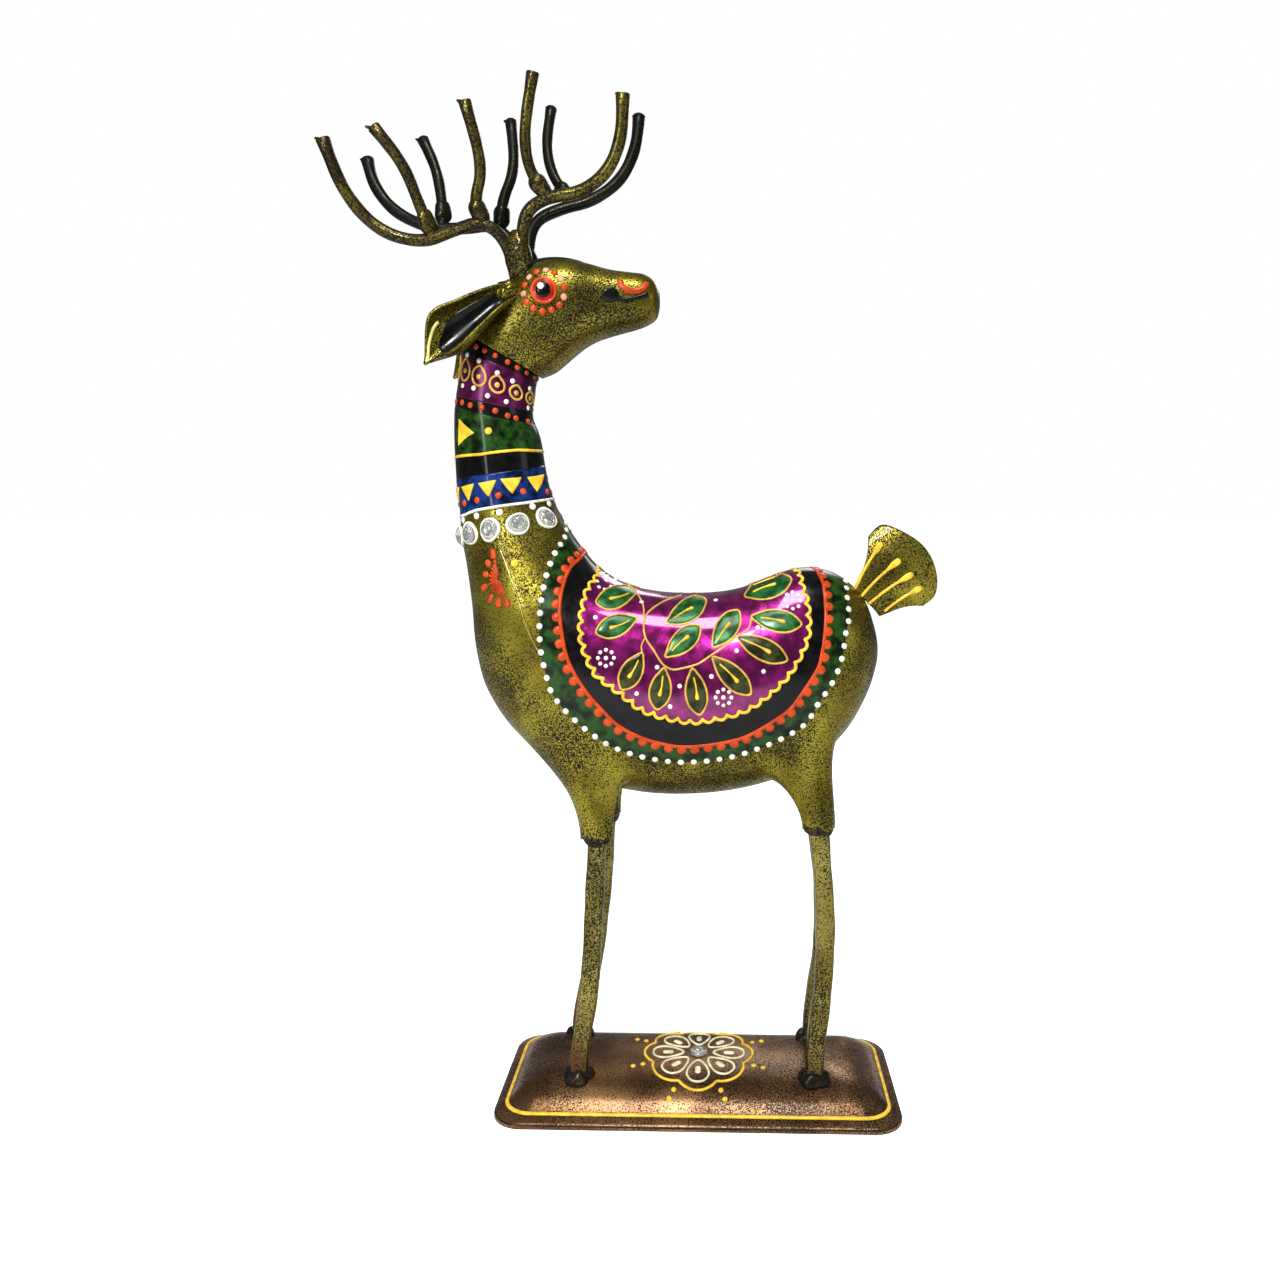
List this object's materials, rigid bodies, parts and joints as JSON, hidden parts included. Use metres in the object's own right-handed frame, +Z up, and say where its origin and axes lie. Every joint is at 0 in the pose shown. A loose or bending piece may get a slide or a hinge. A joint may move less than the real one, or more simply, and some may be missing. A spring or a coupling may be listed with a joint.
{
  "type": "painted sheet-metal deer figurine",
  "caption": "Painted sheet-iron stag standing on a pressed oblong base, head turned back over the body, with bent-wire antlers and a fan tail.",
  "frame": {"origin": "centre of the base's underside, on the surface the base stands on", "axes": "+Z up; the body faces -X and the tail is at +X; the animal's left side is at -Y, and its turned head faces +X"},
  "size_m": [0.1977, 0.06, 0.3351],
  "materials": {
    "gold_paint": "sponged antique gold over black, glossy varnish, hand-painted motifs",
    "copper_paint": "speckled copper brown, glossy varnish, hand-painted flower",
    "weld_metal": "blackened weld beads, satin",
    "stone": "clear domed glass, foil backed"
  },
  "bodies": {
    "root": {"body_shell_left": "gold_paint", "body_shell_right": "gold_paint", "upper_neck": "gold_paint", "head_shell_left": "gold_paint", "head_shell_right": "gold_paint", "left_ear": "gold_paint", "right_ear": "gold_paint", "tail": "gold_paint", "front_left_leg": "gold_paint", "front_right_leg": "gold_paint", "rear_left_leg": "gold_paint", "rear_right_leg": "gold_paint", "right_antler_front_beam": "gold_paint", "right_antler_rear_beam": "gold_paint", "right_antler_front_tine": "gold_paint", "right_antler_middle_tine": "gold_paint", "right_antler_rear_tine": "gold_paint", "left_antler_front_beam": "gold_paint", "left_antler_rear_beam": "gold_paint", "left_antler_front_tine": "gold_paint", "left_antler_middle_tine": "gold_paint", "left_antler_rear_tine": "gold_paint", "base_plate": "copper_paint", "foot_welds": "weld_metal", "hem_welds": "weld_metal", "left_antler_welds": "weld_metal", "right_antler_welds": "weld_metal", "collar_stone_1": "stone", "collar_stone_2": "stone", "collar_stone_3": "stone", "collar_stone_4": "stone", "collar_stone_5": "stone", "collar_stone_6": "stone", "collar_stone_7": "stone", "collar_stone_8": "stone", "collar_stone_9": "stone", "collar_stone_10": "stone", "base_stone": "stone"}
  },
  "joints": []
}
